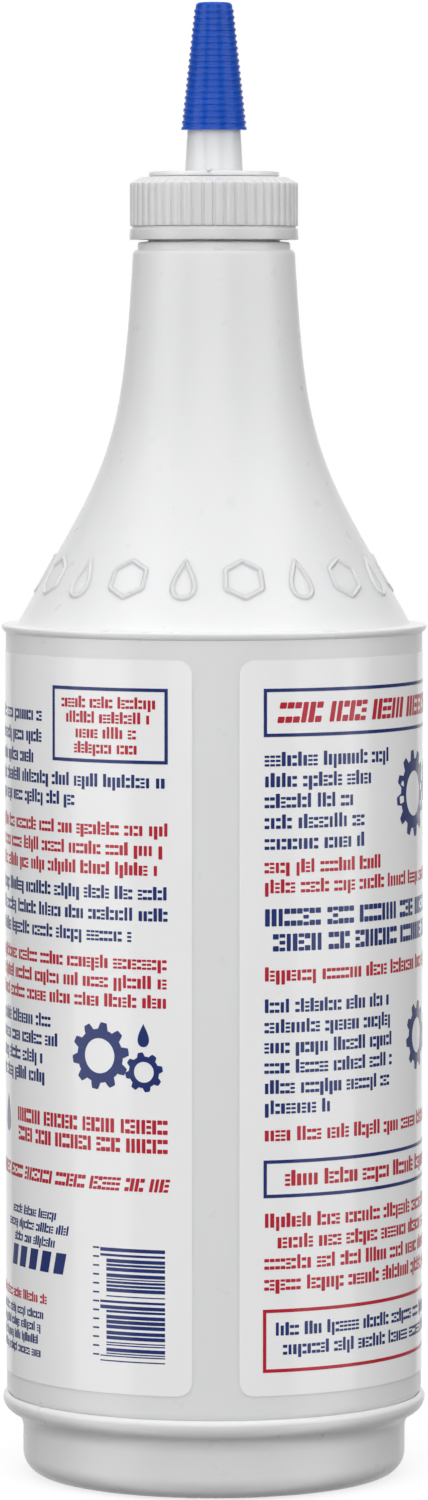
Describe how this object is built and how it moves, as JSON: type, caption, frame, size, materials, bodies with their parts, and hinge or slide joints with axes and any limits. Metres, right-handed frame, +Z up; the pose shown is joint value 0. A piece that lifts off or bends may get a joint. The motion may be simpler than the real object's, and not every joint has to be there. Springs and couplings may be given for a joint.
{
  "type": "oil additive bottle",
  "caption": "Tall round white plastic bottle with a tapering neck, wrapped labels, a ribbed screw collar over a tear-off band, and a pouring spout under a blue ridged tip cap.",
  "frame": {"origin": "centre of the bottle's standing ring, on the surface it stands on", "axes": "+Z up along the bottle's axis, -Y towards the viewer of the picture, where the bare strip between the two labels is, +X to the viewer's right"},
  "size_m": [0.0846, 0.0844, 0.293],
  "materials": {
    "bottle_plastic": "semi-gloss white polyethylene",
    "label_film": null,
    "closure_plastic": "semi-gloss white polypropylene",
    "spout_plastic": "milky polyethylene",
    "tip_plastic": "satin blue polyethylene",
    "gasket_foam": "matte foam liner"
  },
  "bodies": {
    "bottle_body": {"bottle": "bottle_plastic", "front_label": "label_film", "back_label": "label_film", "tamper_band": "closure_plastic"},
    "spout_body": {"spout": "spout_plastic", "gasket": "gasket_foam"},
    "collar_body": {"collar": "closure_plastic"},
    "tip_cap_body": {"tip_cap": "tip_plastic"}
  },
  "joints": [
    {"name": "closure_lift", "type": "slide", "parent": "bottle_body", "child": "spout_body", "axis": [0, 0, 1], "range_m": [0, 0.00477]},
    {"name": "collar_turn", "type": "hinge", "parent": "spout_body", "child": "collar_body", "pos_m": [0, 0, 0.2538], "axis": [0, 0, 1], "range_deg": [0, 540]},
    {"name": "tip_pull", "type": "slide", "parent": "spout_body", "child": "tip_cap_body", "axis": [0, 0, 1], "range_m": [0, 0.03]}
  ],
  "couplings": [
    {"joint": "closure_lift", "follows": "collar_turn", "m_per_rad": 0.00050532}
  ]
}
